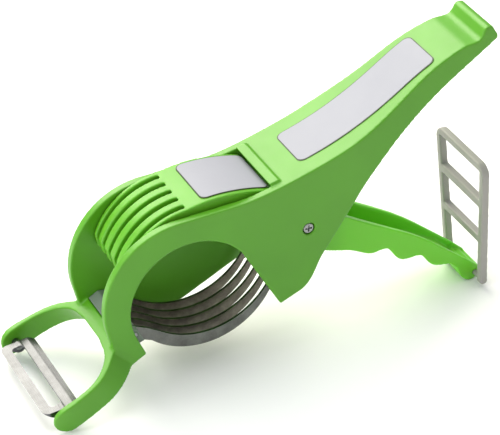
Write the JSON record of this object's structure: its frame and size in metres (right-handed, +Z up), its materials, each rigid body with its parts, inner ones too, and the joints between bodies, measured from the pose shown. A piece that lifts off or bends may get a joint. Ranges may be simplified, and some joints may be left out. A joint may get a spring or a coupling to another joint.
{
  "type": "hand-held vegetable dicer",
  "caption": "Green plastic hand-held vegetable dicer with a round chamber, steel slicing blades, slotted presser jaw on a squeeze lever, swinging latch ladder and a swivel Y peeler.",
  "frame": {"origin": "bottom centre of the bounding box, with the tool standing as pictured: the end of the open squeeze lever touches z = 0 and the yoke's lowest point is about 1 mm above it", "axes": "+Z up; +X from the peeler towards the tail of the handle; +Y away from the side with the round opening, so -Y faces a viewer who sees the opening"},
  "size_m": [0.2274, 0.0698, 0.1341],
  "materials": {
    "green_plastic": "satin injection-moulded ABS, mid green",
    "light_green_plastic": "satin injection-moulded ABS, slightly brighter green",
    "grey_plastic": "matt blue-grey moulded plastic",
    "white_plastic": "off-white moulded plastic",
    "enamelled_steel": "off-white enamel on a steel pin",
    "blade_steel": "stamped stainless steel, fine grain",
    "peeler_steel": "stamped bright stainless steel",
    "bright_steel": "turned or headed zinc-plated steel",
    "spring_steel": "drawn spring wire",
    "label_film": "plain light grey glossy film, no print"
  },
  "bodies": {
    "frame": {"main_frame": "green_plastic", "blade_carrier": "grey_plastic", "slicing_blade_1": "blade_steel", "slicing_blade_2": "blade_steel", "slicing_blade_3": "blade_steel", "slicing_blade_4": "blade_steel", "slicing_blade_5": "blade_steel", "blade_front_rod": "bright_steel", "blade_rear_rod": "bright_steel", "blade_spacers": "grey_plastic", "pivot_screw": "bright_steel", "pivot_nut": "bright_steel", "pivot_bush": "white_plastic", "return_spring": "spring_steel", "handle_label": "label_film"},
    "lever": {"presser_lever": "light_green_plastic", "jaw_label": "label_film"},
    "peeler": {"peeler_blade": "peeler_steel", "peeler_pins": "bright_steel"},
    "latch_axle": {"latch_pin": "enamelled_steel"},
    "latch": {"latch_loop": "white_plastic"}
  },
  "joints": [
    {"name": "lever_pivot", "type": "hinge", "parent": "frame", "child": "lever", "pos_m": [0.01667, 0, 0.0614], "axis": [0, -1, 0], "range_deg": [0, 62], "stiffness_Nm_per_rad": 0.25, "springref_deg": -68.75, "deforming": ["return_spring"]},
    {"name": "peeler_swivel", "type": "hinge", "parent": "frame", "child": "peeler", "pos_m": [-0.1043, 0, 0.00711], "axis": [0, -1, 0], "range_deg": [-20, 20]},
    {"name": "latch_fold", "type": "hinge", "parent": "lever", "child": "latch_axle", "pos_m": [0.10671, 0, 0.00371], "axis": [0, -1, 0], "range_deg": [-84, 0.1]},
    {"name": "latch_swing", "type": "hinge", "parent": "latch_axle", "child": "latch", "pos_m": [0.10671, 0, 0.00371], "axis": [0, -1, 0], "range_deg": [-90, 31]}
  ],
  "couplings": [
    {"joint": "latch_fold", "follows": "lever_pivot", "ratio": -1.35}
  ]
}
